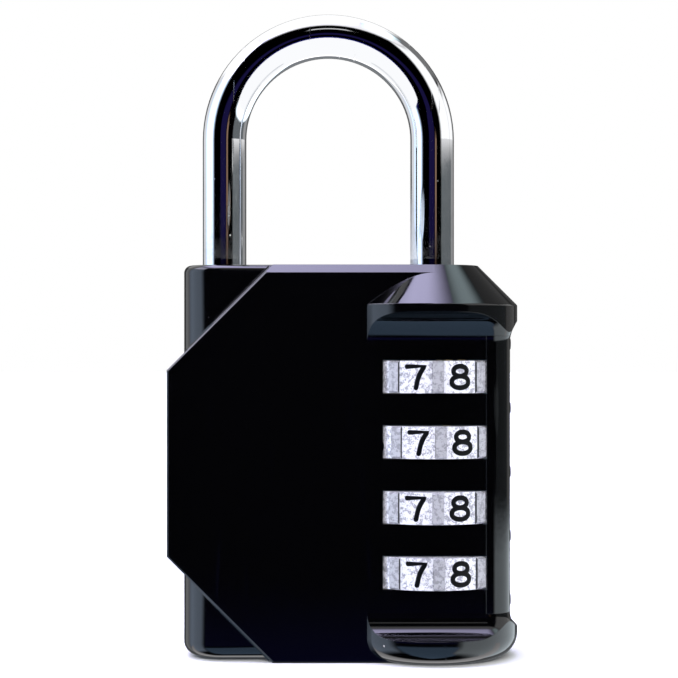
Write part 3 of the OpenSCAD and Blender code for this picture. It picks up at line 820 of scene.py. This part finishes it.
class PADLOCK_OT_fillets(bpy.types.Operator):
    """Runs fillets of enamel along the panel's slanted edges"""

    bl_idname = "padlock.fillets"
    bl_label = "Enamel fillets"

    def execute(self, context):
        sizes = context.scene.padlock_fillets
        made = shared("black_gloss_enamel", black_enamel, context.scene.padlock_enamel)
        piece("panel_fillets", lambda: self.panel_fillets(sizes), "lock_body", made)
        return {"FINISHED"}

    def panel_fillets(self, sizes):
        """The fillets along both slanted edges, front and back, each in one run round the corner block."""
        form = bmesh.new()
        half = HALF_T - sizes.recess
        centre_x = LEFT_X + sizes.inset + sizes.round
        centre_y = half - sizes.round
        rise = BODY_TOP - sizes.cut - LEFT_X
        # The section is buried this deep in the casting, and its run stops this short of the top
        buried, short = 0.04 * MM, 0.5 * MM
        f, arc_steps = sizes.fillet, 5
        start_x = BODY_TOP - rise - short
        verts = [form.verts.new((start_x, -half + buried, -buried))]
        verts.append(form.verts.new((start_x, -half - f, -buried)))
        for step in range(arc_steps + 1):
            angle = math.radians(90) * step / arc_steps
            verts.append(form.verts.new((
                start_x, -half - f + f * math.sin(angle), math.sqrt(2) * f * (1 - math.cos(angle)),
            )))
        verts.append(form.verts.new((start_x, -half + buried, math.sqrt(2) * f)))
        edges = [form.edges.new((verts[i], verts[(i + 1) % len(verts)])) for i in range(len(verts))]
        bmesh.ops.contextual_create(form, geom=edges)

        def run(geom, vec):
            """Draws the section on in a straight line."""
            made = bmesh.ops.extrude_edge_only(form, edges=geom)["geom"]
            ends = [g for g in made if isinstance(g, bmesh.types.BMVert)]
            bmesh.ops.translate(form, verts=ends, vec=vec)
            return [g for g in made if isinstance(g, bmesh.types.BMEdge) and all(v in ends for v in g.verts)]

        def bend(geom, y):
            """Draws the section on round a quarter turn."""
            made = bmesh.ops.spin(
                form, geom=geom, cent=(centre_x, y, 0), axis=(0, 0, 1), angle=-math.pi / 2,
                steps=sizes.steps, use_merge=False, use_duplicate=False,
            )
            return [g for g in made["geom_last"] if isinstance(g, bmesh.types.BMEdge)]

        last = run(edges, (centre_x - start_x, 0, 0))
        last = bend(last, -centre_y)
        last = run(last, (0, 2 * centre_y, 0))
        last = bend(last, centre_y)
        last = run(last, (start_x - centre_x, 0, 0))
        bmesh.ops.contextual_create(form, geom=last)
        slant = Matrix(((1, 0, 0, 0), (0, 1, 0, 0), (1, 0, 1, rise), (0, 0, 0, 1)))
        bmesh.ops.transform(form, matrix=slant, verts=form.verts)
        lower = bmesh.ops.duplicate(form, geom=form.verts[:] + form.edges[:] + form.faces[:])["geom"]
        flip = Matrix.Translation((0, 0, BODY_TOP)) @ Matrix.Diagonal((1, 1, -1, 1))
        bmesh.ops.transform(form, matrix=flip, verts=[g for g in lower if isinstance(g, bmesh.types.BMVert)])
        return form


class PADLOCK_OT_lockwork(bpy.types.Operator):
    """Finishes the brass sleeves, the springs and the small steel parts"""

    bl_idname = "padlock.lockwork"
    bl_label = "Lockwork"

    def execute(self, context):
        sleeves = [name for name in NODES if name.startswith("code_sleeve_")]
        clicks = [name for name in NODES if name.startswith("click_spring_")]
        unmirrored(*(NODES[name] for name in sleeves))
        wear(bare_metal("turned_brass", (0.80, 0.56, 0.24), (0.4, 0.24, 0.09), 0.24, 5200.0), *sleeves)
        wear(
            bare_metal("drawn_steel", (0.62, 0.62, 0.63), (0.3, 0.28, 0.26), 0.28, 3600.0),
            "retaining_ring", "spring_washer", "cover_dowels",
        )
        wear(
            bare_metal("spring_steel_blued", (0.40, 0.43, 0.48), (0.18, 0.19, 0.23), 0.3, 2400.0),
            "sleeve_spring", *clicks,
        )
        return {"FINISHED"}


class PADLOCK_PT_panel(bpy.types.Panel):
    """Lists the pieces of the padlock, in the order that they are made"""

    bl_idname = "PADLOCK_PT_panel"
    bl_label = "Padlock"
    bl_space_type = "VIEW_3D"
    bl_region_type = "UI"
    bl_category = "Padlock"

    def draw(self, context):
        for operator, group_name in STEPS:
            box = self.layout.box()
            box.operator(operator)
            if group_name:
                sizes = getattr(context.scene, group_name)
                for name in sizes.bl_rna.properties.keys():
                    if name not in ("rna_type", "name"):
                        box.prop(sizes, name)


STEPS = [
    ("padlock.stage", "padlock_studio"),
    ("padlock.casting", "padlock_enamel"),
    ("padlock.fillets", "padlock_fillets"),
    ("padlock.shackle", "padlock_chrome"),
    ("padlock.dials", "padlock_dials"),
    ("padlock.numbers", ""),
    ("padlock.lockwork", ""),
]
GROUP_CLASSES = {
    "padlock_enamel": PADLOCK_PG_enamel,
    "padlock_chrome": PADLOCK_PG_chrome,
    "padlock_dials": PADLOCK_PG_dials,
    "padlock_fillets": PADLOCK_PG_fillets,
    "padlock_studio": PADLOCK_PG_studio,
}
CLASSES = [
    *GROUP_CLASSES.values(),
    PADLOCK_OT_stage,
    PADLOCK_OT_casting,
    PADLOCK_OT_fillets,
    PADLOCK_OT_shackle,
    PADLOCK_OT_dials,
    PADLOCK_OT_numbers,
    PADLOCK_OT_lockwork,
    PADLOCK_PT_panel,
]


def register():
    """Adds the classes, and the sizes to every scene."""
    for made in CLASSES:
        bpy.utils.register_class(made)
    for name, made in GROUP_CLASSES.items():
        setattr(bpy.types.Scene, name, PointerProperty(type=made))


def unregister():
    """Takes the sizes and the classes away again."""
    for name in GROUP_CLASSES:
        delattr(bpy.types.Scene, name)
    for made in reversed(CLASSES):
        bpy.utils.unregister_class(made)


def main():
    """Builds everything."""
    register()
    for operator, _ in STEPS:
        family, name = operator.split(".")
        getattr(getattr(bpy.ops, family), name)()


if __name__ == "__main__":
    main()
